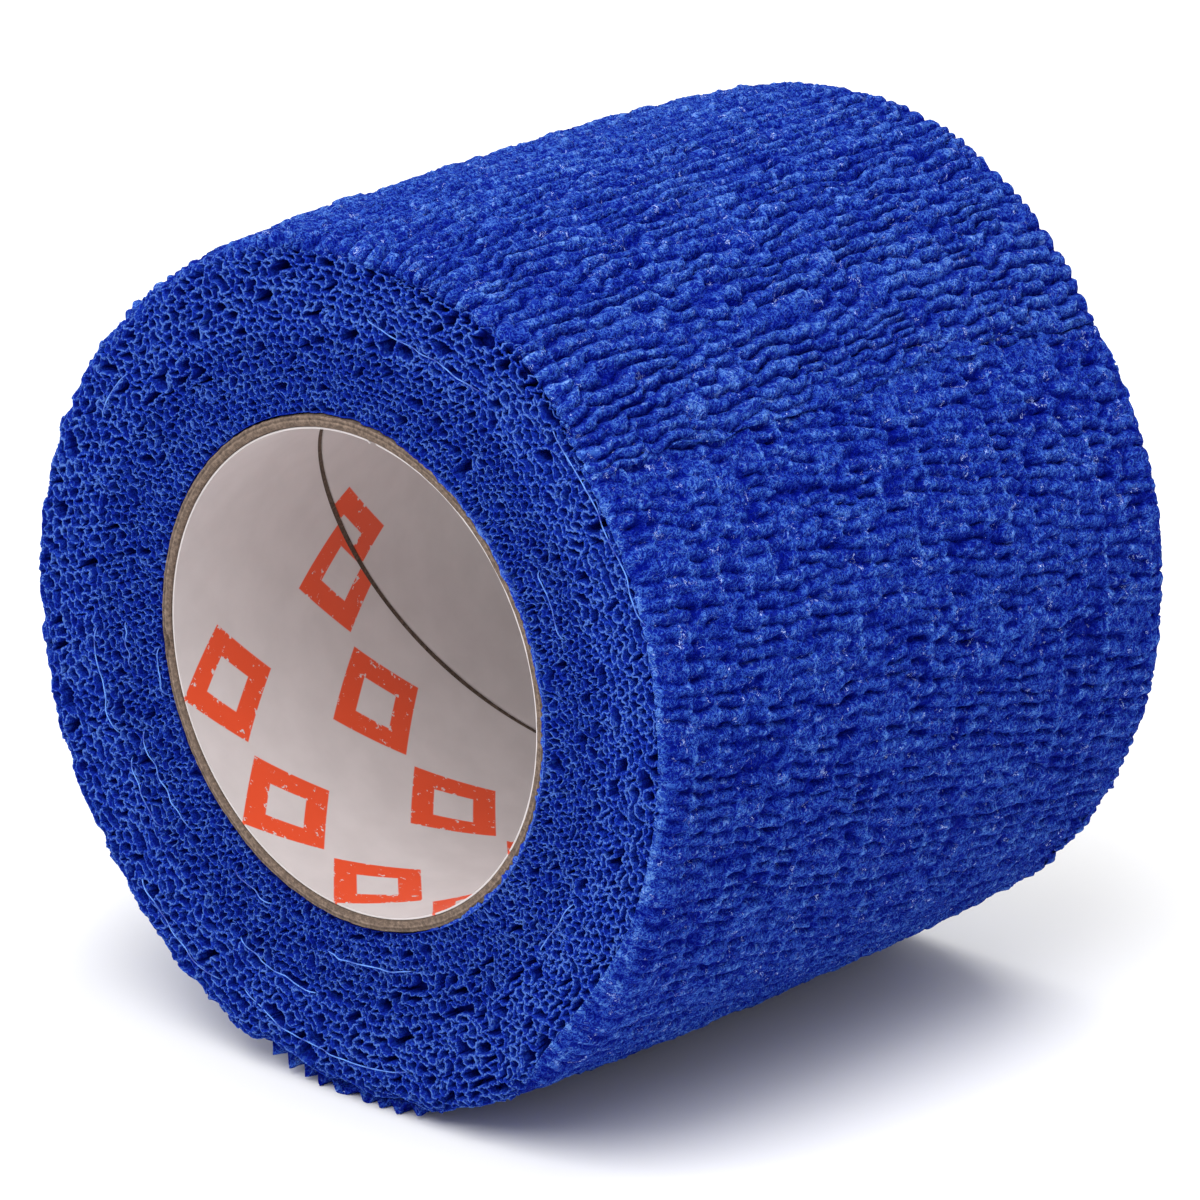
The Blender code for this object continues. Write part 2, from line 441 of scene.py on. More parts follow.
edgeLook = {
    # the colours run from painted shade deep in the cells to painted highlight on the tops of the edges
    "stops": ((0.0, "#020e70"), (0.35, "#051982"), (0.65, "#0f2d9a"), (0.88, "#1d41a2"), (1.0, "#496bb6")),
    "curl": 0.38,  # the distances between the features of each pattern, mm
    "patch": 0.9,
    "curlTones": (0.34, -0.16),
    "patchTone": 0.22,
    "curlDepth": 0.15,  # mm
}


def cutEdges():
    # the cloth's cut edges on the ends: thin lines of torn fibre with a painted highlight along their tops,
    # above painted shade in the folds and cells
    look = edgeLook
    material, tree, shader = newMaterial(
        "crinkledClothEdges", Roughness=0.8, Metallic=0.0, IOR=1.5, Specular_IOR_Level=0.05
    )
    spot = addNode(tree, coordinates, output="Object")
    paintedEdgeShading = addNode(tree, attribute, output="Fac", attribute_name="paintedEdgeShading")
    patch = addNode(
        tree, noise, {"Vector": spot, "Scale": every(look["patch"]), "Detail": 3.0, "Roughness": 0.6}
    )
    offCurl, fibreTone = curledFibres(tree, spot, look["curl"], look["curlTones"])
    ends = {"From Min": 0.3, "From Max": 0.7, "To Min": -look["patchTone"], "To Max": look["patchTone"]}
    patchTone = addNode(tree, mapRange, {"Value": patch, **ends})
    uneven = addNode(tree, maths, {0: fibreTone, 1: patchTone}, operation="ADD")
    tone = addNode(tree, maths, {0: paintedEdgeShading, 1: uneven}, operation="ADD")
    tree.links.new(addNode(tree, ramp, {"Fac": tone}, stops=look["stops"]), shader.inputs["Base Color"])
    depth = look["curlDepth"] * mm
    rough = addNode(tree, bump, {"Height": offCurl, "Distance": depth, "Strength": 1.0}, invert=True)
    tree.links.new(rough, shader.inputs["Normal"])
    return material


threadLook = {"stops": ((0.35, "#0c2c98"), (0.6, "#5c92e6")), "patch": 1.2}


def threadRubber():
    # elastane threads: smooth, pale blue under their coating
    material, tree, shader = newMaterial("elastaneThread", Roughness=0.45, Metallic=0.0, IOR=1.5)
    spot = addNode(tree, coordinates, output="Object")
    patch = addNode(tree, noise, {"Vector": spot, "Scale": every(threadLook["patch"]), "Detail": 3.0})
    colour = addNode(tree, ramp, {"Fac": patch}, stops=threadLook["stops"])
    tree.links.new(colour, shader.inputs["Base Color"])
    return material


boardLook = {
    "stops": ((0.3, "#2a2320"), (0.5, "#63544a"), (0.7, "#937f71")),
    "fibre": 0.28,  # mm
    "fibreShare": 0.65,
    "plies": 7.0,  # to a millimetre of the wall
    "plyShare": 0.35,
    "roughness": 0.06,  # mm
}


def coreBoard():
    # grey-brown recycled board: matt, with its plies and short fibres showing on the cut edge
    look = boardLook
    material, tree, shader = newMaterial(
        "recycledCoreBoard", Roughness=0.9, Metallic=0.0, IOR=1.5, Specular_IOR_Level=0.2
    )
    spot = addNode(tree, coordinates, output="Object")
    depth = addNode(tree, attribute, output="Fac", attribute_name="ply")
    plies = addNode(tree, noise, {"W": depth, "Scale": look["plies"], "Detail": 2.0}, noise_dimensions="1D")
    fibre = addNode(
        tree, noise, {"Vector": spot, "Scale": every(look["fibre"]), "Detail": 5.0, "Roughness": 0.75}
    )
    fibrePart = addNode(tree, maths, {0: fibre, 1: look["fibreShare"]}, operation="MULTIPLY")
    plyPart = addNode(tree, maths, {0: plies, 1: look["plyShare"]}, operation="MULTIPLY")
    tone = addNode(tree, maths, {0: fibrePart, 1: plyPart}, operation="ADD")
    tree.links.new(addNode(tree, ramp, {"Fac": tone}, stops=look["stops"]), shader.inputs["Base Color"])
    rough = addNode(tree, bump, {"Height": fibre, "Distance": look["roughness"] * mm, "Strength": 0.6})
    tree.links.new(rough, shader.inputs["Normal"])
    return material


paperLook = {
    # the paper's colours are painted greyer and a little warmer than white paper, as painted shade inside
    # the bore
    "white": "#c8c1c1",
    "shade": "#c2bbbb",
    "print": "#d8481f",
    "cloud": 2.5,  # the distances between the features of each pattern, mm
    "wear": 0.5,
    "columns": 11,  # diamonds that would go round the bore
    "bareColumns": 5.5,  # how many of them are left out
    "pitchRound": 102.2 / 11,  # mm
    "pitchAlong": 12.0,
    "firstRow": 4.2,
    "rows": 2,
    "outside": 4.1,  # half the height of a diamond, and of the hole in it
    "inside": 2.0,
    "softEdge": 0.1,
}


def nearest(tree, place, pitch):
    # the whole number nearest to a place, and how far off it lies, mm
    number = addNode(tree, maths, {0: place, 1: 0.5}, operation="ADD")
    number = addNode(tree, maths, {0: number}, operation="FLOOR")
    off = addNode(tree, maths, {0: place, 1: number}, operation="SUBTRACT")
    off = addNode(tree, maths, {0: off}, operation="ABSOLUTE")
    return number, addNode(tree, maths, {0: off, 1: pitch}, operation="MULTIPLY")


def linerPaper():
    # white machine-finished paper with a plain printed pattern of open diamonds, a little worn
    look = paperLook
    material, tree, shader = newMaterial("whiteLinerPaper", Roughness=0.55, Metallic=0.0, IOR=1.45)
    spot = addNode(tree, coordinates, output="Object")
    cloud = addNode(tree, noise, {"Vector": spot, "Scale": every(look["cloud"]), "Detail": 5.0})
    paper = addNode(tree, ramp, {"Fac": cloud}, stops=((0.35, look["shade"]), (0.65, look["white"])))
    sheet = addNode(tree, "ShaderNodeUVMap", uv_map="sheetMm")
    parts = addNode(tree, "ShaderNodeSeparateXYZ", {"Vector": sheet}).node.outputs
    # how far a point lies off the middle of the nearest diamond, along the bore and round it
    along = addNode(tree, maths, {0: parts["Y"], 1: look["firstRow"]}, operation="SUBTRACT")
    along = addNode(tree, maths, {0: along, 1: look["pitchAlong"]}, operation="DIVIDE")
    row, offRow = nearest(tree, along, look["pitchAlong"])
    around = addNode(tree, maths, {0: parts["X"], 1: look["pitchRound"]}, operation="DIVIDE")
    shifted = addNode(tree, maths, {0: row, 1: 0.5, 2: around}, operation="MULTIPLY_ADD")
    column, offColumn = nearest(tree, shifted, look["pitchRound"])
    reach = addNode(tree, maths, {0: offRow, 1: offColumn}, operation="ADD")
    line = addNode(tree, maths, {0: reach, 1: (look["outside"] + look["inside"]) / 2}, operation="SUBTRACT")
    line = addNode(tree, maths, {0: line}, operation="ABSOLUTE")
    worn = addNode(
        tree, noise, {"Vector": spot, "Scale": every(look["wear"]), "Detail": 4.0, "Roughness": 0.7}
    )
    ends = {"From Min": 0.6, "From Max": 0.7, "To Min": 0.0, "To Max": 1.5}
    lost = addNode(tree, mapRange, {"Value": worn, **ends})
    line = addNode(tree, maths, {0: line, 1: lost}, operation="ADD")
    half = (look["outside"] - look["inside"]) / 2
    ends = {"From Min": half, "From Max": half + look["softEdge"], "To Min": 1.0, "To Max": 0.0}
    ink = addNode(tree, mapRange, {"Value": line, **ends})
    lastRow = look["firstRow"] + (look["rows"] - 0.5) * look["pitchAlong"]
    onRows = addNode(tree, maths, {0: parts["Y"], 1: lastRow}, operation="LESS_THAN")
    number = addNode(tree, maths, {0: column, 1: look["columns"]}, operation="FLOORED_MODULO")
    onColumns = addNode(tree, maths, {0: number, 1: look["bareColumns"]}, operation="GREATER_THAN")
    ink = addNode(tree, maths, {0: ink, 1: onRows}, operation="MULTIPLY")
    ink = addNode(tree, maths, {0: ink, 1: onColumns}, operation="MULTIPLY")
    whole = addNode(tree, mix, {0: ink, 6: paper, 7: linear(look["print"])}, output=2, data_type="RGBA")
    tree.links.new(whole, shader.inputs["Base Color"])
    rough = addNode(tree, bump, {"Height": cloud, "Distance": 0.05 * mm, "Strength": 0.3})
    tree.links.new(rough, shader.inputs["Normal"])
    return material


# the relief of the last turn, lengths in mm; two figures are for the cloth below the tail and above it
crepe = {
    "ridgePitch": 1.15,
    "ridgeDepth": (0.44, 0.64),
    "overTop": 0.2,  # how much deeper the creases are over the top
    "creaseWidth": (0.3, 0.29),
    "threadPitch": 2.27,
    "threadReach": (0.26, 0.36),
    "creasedTo": math.radians(120),  # from here the creases fade, round the back, to the pocked cloth
    "pockedFrom": math.radians(290),
    "pockedAll": math.radians(300),
    "slant": 0.24,
    # drifts: height, length round the roll, length across it, seed
    "meander": ((0.5, 9, 11, 1), (0.25, 2.4, 2.6, 2), (0.16, 0.9, 0.8, 9)),
    "swells": ((0.08, 1.6, 2.2, 5), (0.09, 6, 7, 6)),
    "crumples": 0.14,
    "pocks": 0.4,
    "edgeRows": 7,  # rows of faces round each corner
    "sheet": 0.16,  # how thick the cloth shows at its cut edge
    "hemDepth": 3.2,  # how far in from the end and how deep under the surface the shell closes
    "hemSunk": 2.6,
    "toothPitch": 1.75,
    # places along the tail where it has come loose: middle, reach and lift
    "lifts": ((5.5, 2.2, 0.2), (30.0, 1.2, 0.24), (41.0, 1.6, 0.15)),
    "tailPressed": 0.34,
}


def crepeRelief(angle, v):
    # height of the surface; a painted shading from 0, dark in a pit, to 1, light on a crest, with pale
    # thread lines in it; and the place across each ridge
    u = angle * form["meanRadius"]
    creased = 1 - 0.9 * ease(angle, crepe["creasedTo"], crepe["pockedFrom"])
    creased = creased * (1 - ease(angle, crepe["pockedFrom"], crepe["pockedAll"]))
    # round the back the creases come to slant a little, and they stay so below the tail
    slanted = np.clip((angle - crepe["creasedTo"]) / math.pi, 0, 1)
    slant = crepe["slant"] * slanted * (v - width / 2)
    # elastic threads part the cloth into bands, and each band has ridges of its own
    band = v / crepe["threadPitch"] + 0.06 * drift(u / 4, v / 6, 90)
    bandNumber = np.floor(band)
    inBand = band - bandNumber
    fromThread = np.minimum(inBand, 1 - inBand) * crepe["threadPitch"]
    beside = np.where(inBand > 0.5, bandNumber + 1, bandNumber - 1)
    share = 0.5 * (1 - ease(fromThread, 0.0, 0.4 - 0.15 * creased))

    def bandwise(value):
        return value(bandNumber) * (1 - share) + value(beside) * share

    slip = bandwise(lambda b: 0.6 * drift(u / 3.2, b * 7.31, 71) + 0.15 * drift(u / 1.4, b * 5.77, 72))
    slip = slip * (0.55 + 0.85 * creased)
    sag = 0.16 * creased * (1 - (2 * inBand - 1) ** 2)
    along = (u + slant) / crepe["ridgePitch"] + withWaves(0, u, v, crepe["meander"]) + slip + sag
    ridge = np.floor(along)
    across = along - ridge

    def depthOf(number):
        own = bandwise(lambda b: cellValue(number, b + 0.5, 11))
        own = own * (1 - 0.3 * creased) + 0.3 * creased * drift(number + 0.5, v / 6, 13)
        return np.clip(0.72 - 0.02 * creased + (0.6 - 0.15 * creased) * own, 0.06, 1.15)

    depth, threadReach, creaseWidth = (
        low + (high - low) * creased
        for low, high in (crepe[key] for key in ("ridgeDepth", "threadReach", "creaseWidth"))
    )
    depth = depth + crepe["overTop"] * ease(angle, math.radians(66), math.radians(92)) * creased
    gap = across * crepe["ridgePitch"]
    lower = np.exp(-((gap / creaseWidth) ** 1.15)) * depthOf(ridge)
    upper = np.exp(-(((crepe["ridgePitch"] - gap) / (creaseWidth * 0.6)) ** 1.15)) * depthOf(ridge + 1)
    valley = np.maximum(lower, upper)
    pinch = np.exp(-((fromThread / threadReach) ** 2))
    grip = (0.8 - 0.6 * creased) * pinch
    height = -depth * valley * (1 - grip)
    tall = bandwise(lambda b: cellValue(ridge, b + 0.5, 15))
    pillow = np.sin(np.pi * across) ** 0.7
    height = height + (0.22 + (0.2 - 0.06 * creased) * tall) * (0.4 + 0.6 * creased) * pillow
    dimple = np.clip(0.35 + 0.8 * drift(u / 1.1, bandNumber * 3.3, 33), 0, 1)
    height = height - 0.32 * creased * pinch * (0.4 * dimple + 0.6 * valley)
    warp = 0.4 * drift(u / 0.9, v / 0.9, 85)
    small = np.abs(drift(u / 0.45 + warp, v / 0.8 + warp, 81))
    small = small + 0.6 * np.abs(drift(u / 0.3, v / 0.4 + 2 * warp, 82))
    # painted shade in the creases and painted highlight on the crests
    paintedShadingAndThreads = np.clip(0.48 + 0.95 * height + 0.3 * (small - 0.5), 0, 1)
    # the threads show through as faint pale lines, on and off
    shown = np.clip(0.5 + 1.2 * drift(u / 2.5, (bandNumber + np.rint(inBand)) * 3.7, 44), 0, 1)
    paintedShadingAndThreads = paintedShadingAndThreads + 0.26 * (1 - 0.6 * creased) * shown * np.exp(-((fromThread / 0.16) ** 2))
    pocks = np.clip(drift(u / 0.7 + warp, v / 0.95 + warp, 93) - 0.25, 0, 1) * (1 - creased)
    # painted shade in the pocks
    paintedShadingAndThreads = paintedShadingAndThreads - 0.7 * pocks
    height = height - crepe["pocks"] * pocks
    height = withWaves(height + crepe["crumples"] * small, u, v, crepe["swells"])
    return height, paintedShadingAndThreads, across


def rimRelief(height, angle, v, across, fromEdge, atBack):
    # the relief along the last turn's edges
    fold = np.where(atBack, 0.0, curled(angle))
    share = np.exp(-((fromEdge / 1.1) ** 2))
    smooth = near(angle, -48, 26) * np.exp(-((v / 5) ** 2))
    height = height * (1 - share * np.where(atBack, 0.5, 0.3 * fold)) * (1 - 0.55 * smooth)
    # a low scalloped rim, level with the cells of the turns inside it
    scallop = 0.5 - 0.5 * np.cos(turn * across)
    uneven = 0.5 + 0.5 * drift(angle * form["meanRadius"] / 1.9, 0.5, 17)
    height = height + share * (1 - fold) * np.where(atBack, 0.05, 0.5 * (scallop - 0.5) * uneven - 0.15)
    # its cut edge turns down to the cells but on the right, where it folds over them
    height = height - 0.4 * (1 - fold) * ~atBack * np.exp(-((fromEdge / 0.35) ** 2))
    # it lies nearly flat on the floor
    height = height * (1 - 0.75 * near(angle, form["bottom"], 8))
    # the pinked stretch: pointed teeth with notches between them
    wander = 0.5 * drift(angle * form["meanRadius"] / 3, 0.5, 18)
    phase = np.mod(angle * form["meanRadius"] / crepe["toothPitch"] + wander, 1)
    tooth = (1 - np.abs(2 * phase - 1)) ** 1.2
    teeth = pinked(angle) * np.exp(-((fromEdge / 1.2) ** 2)) * ~atBack
    return height * (1 - teeth) + teeth * (form["pinkDepth"] * (tooth - 1) + 0.3)


def tailRelief(height, angle, v):
    # the tail is pressed down but for where it has come loose, and the turn under it a little too
    fromTail = (angle - form["tailAngle"]) * form["meanRadius"]
    loose = sum(lift * np.exp(-(((v - middle) / reach) ** 2)) for middle, reach, lift in crepe["lifts"])
    fromUnder = np.abs(form["tailAngle"] + turn - angle) * form["meanRadius"]
    height = height * (1 - 0.3 * np.exp(-fromUnder))
    height = height + (loose - crepe["tailPressed"]) * np.exp(-fromTail / 1.6)
    # its cut edge wavers
    waver = (0.6 * drift(v / 3, 0, 31) + 0.32 * drift(v / 1.1, 0, 32)) / form["meanRadius"]
    return height, angle + waver * np.exp(-fromTail / 1.5)


def outerTurn(name, first, last, columns, bodyRows, finish):
    # a closed shell over one stretch of the circumference, from the front edge round both corners to
    # the back one
    corner = form["corner"]
    bodyY = np.linspace(corner, width - corner, bodyRows + 1)[1:-1]
    arc = np.linspace(0, 1, crepe["edgeRows"] + 1)
    body = 0 * bodyY
    # for each row: how far it is round the corner from the cut edge, its distance from the front on the
    # flat part, whether it belongs to the back corner, and how deep it lies under the surface
    turned = np.concatenate([[0, 0], arc, body + 1, arc[::-1], [0, 0]])
    flatY = np.concatenate([[0, 0], 0 * arc + corner, bodyY, 0 * arc + width - corner, [0, 0]])
    atBack = np.concatenate([[0, 0], 0 * arc, body, 0 * arc + 1, [1, 1]]) > 0
    under = np.concatenate([[2, 1], 0 * arc, body, 0 * arc, [1, 2]])
    count = len(turned)
    bm, column, row = gridMesh(columns, count)
    row = row % count  # the last row closes on the first
    angle = first + (last - first) * column / columns
    turned, flatY, atBack, under = turned[row], flatY[row], atBack[row], under[row]
    start = np.where(atBack, math.radians(frontEdge["plainStart"]), rimStart(angle))
    bend = start + (math.pi / 2 - start) * turned
    onBody = (turned == 1) & (under == 0)
    size = np.where(atBack, corner, frontCorner(angle))
    onFlat = np.where(atBack, width - flatY, flatY) - corner + size
    fromEnd = np.where(onBody, onFlat, size * (1 - np.cos(bend)))
    arcLength = size * (math.pi / 2 - bend)
    v = np.where(onBody, flatY, np.where(atBack, width - corner + arcLength, corner - arcLength))
    fromEdge = size * (bend - start) + np.where(onBody, np.minimum(flatY, width - flatY) - corner, 0)
    height, paintedShadingAndThreads, across = crepeRelief(angle, v)
    height = rimRelief(height, angle, v, across, fromEdge, atBack)
    height, moved = tailRelief(height, angle, v)
    height = height - np.where(under == 1, crepe["sheet"], 0)
    y = fromEnd - height * np.cos(bend)
    y = np.where(atBack, width - y, y)
    radius = woundRadius(angle, y / width) - sunk(angle, y / width)
    radius = radius - size * (1 - np.sin(bend)) + height * np.sin(bend)
    deep = under == 2
    hem = crepe["hemDepth"]
    y = np.where(deep, np.where(atBack, width - hem, hem), y)
    radius = np.where(deep, woundRadius(angle, y / width) - crepe["hemSunk"], radius)
    moveTo(bm, place3d(moved, radius, y))
    # a painted highlight along the folded edge on the right
    fold = np.where(atBack, 0.0, curled(angle))
    paintedShadingAndThreads = paintedShadingAndThreads + 0.35 * fold * np.exp(-((fromEdge / 0.4) ** 2))
    # the rows that close the shell out of sight get the darkest painted shade
    giveValues(bm, "paintedShadingAndThreads", np.where(deep, 0.0, paintedShadingAndThreads))
    weld(bm)
    addPiece(name, bm, finish, "bandage_roll", sharp=75)


# the wound turns that show on the ends: a network of folded cloth edges round deep cells, mm
cells = {
    # how many go round, how many turns there are, and which of them parts the inner piece from the outer
    "front": {"around": 190, "turns": 20, "splitTurn": 10},
    "back": {"around": 140, "turns": 14, "splitTurn": 7},
    "seeds": (5, 6),  # in front and at the back
    "meanRadius": 24,  # turns an angle to a length round the end
    "clearance": 0.12,  # between the cells and the core
    "wall": (0.11, 0.18),  # of the inner turns and the outer ones
    "shoulder": 0.07,
    "merged": 0.07,  # the share of the walls that is missing, and how much more it is outside
    "mergedOutside": 0.06,
    "jitter": 0.3,
    "jitterRound": 2.4,  # times as much round the ring as across it
    "bow": (0.1, 0.62),
    "curl": (0.15, 0.13, 0.6),  # round the end, across it, and the distance over which it changes
    "rough": ((0.2, 0.9, 0.8, 1), (0.12, 7, 3, 2)),  # drifts: height, two lengths and the seed
    "roughPoint": 0.04,
    "set": 0.22,  # how far in from the end they lie
    "depth": 2.6,
    "lip": 0.05,
    "pit": 1.9,
    "shallow": 0.25,  # the share of its depth that a cell along the rim has
    "wide": 0.55,  # mm², the size of a cell that is as deep as they get
    "proud": (0.2, 0.0),  # how far they stand over the last turn round the corner, in front and at the back
    "under": 0.5,  # how far they go on past its cut edge, and how deep they dip there
    "dip": 0.5,
    "scallops": (0.22, 0.14),  # along the rim, and how much more on the left
    "leftSide": (205, 40),  # its middle and reach, degrees
    "scallopPitch": 1.05,
    "tucked": 1.8,  # how far the skirt leans in behind the corner
    "coreSide": 19,  # nearer the axis than this an edge is the core's, and farther than the next the rim's
    "rimSide": 25,
}


def brickRing(rng, around, turns, splitTurn):
    # a flat ring of cells like bricks, one row to a turn, some of them run together and all shaken
    count, base = around * 2, 100
    ring, column, row = gridMesh(count, turns)
    angle = column / count * turn
    moveTo(ring, np.stack([(base + row) * np.cos(angle), (base + row) * np.sin(angle), 0 * angle], -1))
    bmesh.ops.remove_doubles(ring, verts=ring.verts, dist=0.01)
    spots = np.array([vert.co[:2] for vert in ring.verts])
    rowOf = np.rint(np.hypot(spots[:, 0], spots[:, 1]) - base).astype(int)
    columnOf = np.rint(np.arctan2(spots[:, 1], spots[:, 0]) / turn * count).astype(int) % count
    ring.verts.index_update()
    clump = 1 + 0.9 * drift(columnOf / 22, rowOf / 4, 7)
    gone = []
    for edge in ring.edges:
        one, other = (vert.index for vert in edge.verts)
        merged = (cells["merged"] + cells["mergedOutside"] * (rowOf[one] / turns) ** 3) * clump[one]
        chance = rng.random()
        if rowOf[one] == rowOf[other]:
            if 0 < rowOf[one] < turns and rowOf[one] != splitTurn and chance < merged / 2:
                gone.append(edge)
        elif (columnOf[one] + min(rowOf[one], rowOf[other])) % 2 or chance < merged:
            gone.append(edge)
    bmesh.ops.dissolve_edges(ring, edges=gone, use_verts=False, use_face_split=False)
    for vert in ring.verts:
        if not vert.is_boundary:
            way, out = math.atan2(vert.co.y, vert.co.x), vert.co.xy.length
            way += cells["jitterRound"] * cells["jitter"] * rng.uniform(-1, 1) / count * turn
            out += cells["jitter"] * rng.uniform(-1, 1)
            vert.co.x, vert.co.y = out * math.cos(way), out * math.sin(way)
    free = [vert for vert in ring.verts if not vert.is_boundary]
    bmesh.ops.smooth_vert(ring, verts=free, factor=0.5, use_axis_x=True, use_axis_y=True)
    corners = len(ring.verts)
    bmesh.ops.bisect_edges(ring, edges=ring.edges[:], cuts=2)
    ring.verts.index_update()
    return ring, base, corners


def bowedWalls(ring, corners, spots, rng):
    # bends each wall to an S or an arch: its two middle points move to the side of the way to each other
    ring.verts.ensure_lookup_table()
    middles, ends, others = [], [], []
    for vert in ring.verts[corners:]:
        if not vert.is_boundary:
            one, other = (edge.other_vert(vert).index for edge in vert.link_edges)
            middles.append(vert.index)
            ends.append(min(one, other))
            others.append(max(one, other))
    ahead = spots[others] - spots[ends]
    circumference = turn * cells["meanRadius"]
    ahead[:, 0] = np.mod(ahead[:, 0] + circumference / 2, circumference) - circumference / 2
    bow = rng.uniform(*cells["bow"], (len(middles), 1)) * rng.choice((-1, 1, 1), (len(middles), 1))
    spots[middles] += bow * np.stack([-ahead[:, 1], ahead[:, 0]], -1)
    return spots


def networkEdge(angle, atFront):
    # the outer radius of the cells, scalloped but where the last turn folds over them
    place, proud = (0.0, cells["proud"][0]) if atFront else (1.0, cells["proud"][1])
    cut = form["pinkDepth"] * pinked(angle) if atFront else 0
    low, more = cells["scallops"]
    scallops = low + more * near(angle, *cells["leftSide"])
    scallops = scallops * drift(np.mod(angle, turn) * form["meanRadius"] / cells["scallopPitch"], 0.5, 21)
    scallops = scallops * (1 - curled(angle))
    return evenRadius(angle, place) - sunk(angle, place) + proud + scallops - cut


def networkLength(angle, flatPart, atFront):
    # how far the cells go from the core, along the flat part of the end and some way round the corner, to
    # end just under the last turn's cut edge
    corner, proud = form["corner"], cells["proud"][0 if atFront else 1]
    start, size = math.radians(frontEdge["plainStart"]), corner
    if atFront:
        start, size = rimStart(angle), frontCorner(angle)
    sine = 1 - (proud - cells["under"] + size * (1 - np.sin(start))) / corner
    return flatPart + corner * np.where(sine > 0, np.arcsin(np.clip(sine, 0, 1)), sine)


def outwards(point, middle):
    # from the winding axis to a point
    out = point - middle
    out.y = 0
    return out


def hollowCells(ring, middle, side, wall, rng):
    # each cell goes inwards, square to the surface round the corner
    paintedEdgeShading = ring.verts.layers.float["paintedEdgeShading"]
    turned = ring.verts.layers.float["turned"]
    pits = ring.faces[:]
    ways, shares = [], []
    for face in pits:
        share = min(face.calc_area() / mm**2 / cells["wide"], 1.0) * rng.uniform(0.45, 1.0)
        bend = sum(vert[turned] for vert in face.verts) / len(face.verts)
        out = outwards(face.calc_center_median(), middle)
        atRim = out.length > cells["rimSide"] * mm and any(vert.is_boundary for vert in face.verts)
        shares.append(share * cells["shallow"] if atRim else share)
        out.normalize()
        ways.append(Vector((0, side * math.cos(bend), 0)) - out * math.sin(bend))
    # a thin rounded lip, then the wall down to the floor, which lies high in the small cells; the lip gets
    # less painted highlight than the wall tops, and the floor gets painted shade, lighter in the small cells
    for inset, depth, shade in ((wall / 2, cells["lip"], 0.0), (cells["shoulder"], cells["pit"], 0.25)):
        bmesh.ops.inset_individual(ring, faces=pits, thickness=inset * mm, depth=0, use_even_offset=False)
        for face, way, share in zip(pits, ways, shares):
            down = depth * (0.25 + 0.75 * share) if shade else depth
            for vert in face.verts:
                vert.co += way * (down * mm)
                vert[paintedEdgeShading] = shade * (1 - share) ** 2 if shade else 0.55


def closeBehind(ring, middle, inner, atFront):
    # a skirt from the network's two edges down to one depth, and a plain back between them
    paintedEdgeShading = ring.verts.layers.float["paintedEdgeShading"]
    turned = ring.verts.layers.float["turned"]
    border = [edge for edge in ring.edges if edge.is_boundary]
    # what leans over the board goes back before it goes down
    coreSide = cells["coreSide"] * mm
    atCore = [edge for edge in border if (edge.verts[0].co - middle).xz.length < coreSide]
    for item in bmesh.ops.extrude_edge_only(ring, edges=atCore)["geom"]:
        if isinstance(item, bmesh.types.BMVert):
            out = outwards(item.co, middle)
            item.co += out.normalized() * (inner * mm - out.length)
    border = [edge for edge in ring.edges if edge.is_boundary]
    made = bmesh.ops.extrude_edge_only(ring, edges=border)["geom"]
    floor = (axis.y + (cells["depth"] if atFront else width - cells["depth"])) * mm
    for item in made:
        if isinstance(item, bmesh.types.BMVert):
            out = outwards(item.co, middle)
            item.co -= out.normalized() * (cells["tucked"] * mm * math.sin(min(item[turned], math.pi / 2)))
            item.co.y = floor
            # the skirt and back get the darkest painted shade
            item[paintedEdgeShading] = 0.0
    bottom = [item for item in made if isinstance(item, bmesh.types.BMEdge)]
    bmesh.ops.bridge_loops(ring, edges=[edge for edge in bottom if edge.is_boundary])
    ring.verts.layers.float.remove(turned)
    bmesh.ops.recalc_face_normals(ring, faces=ring.faces)


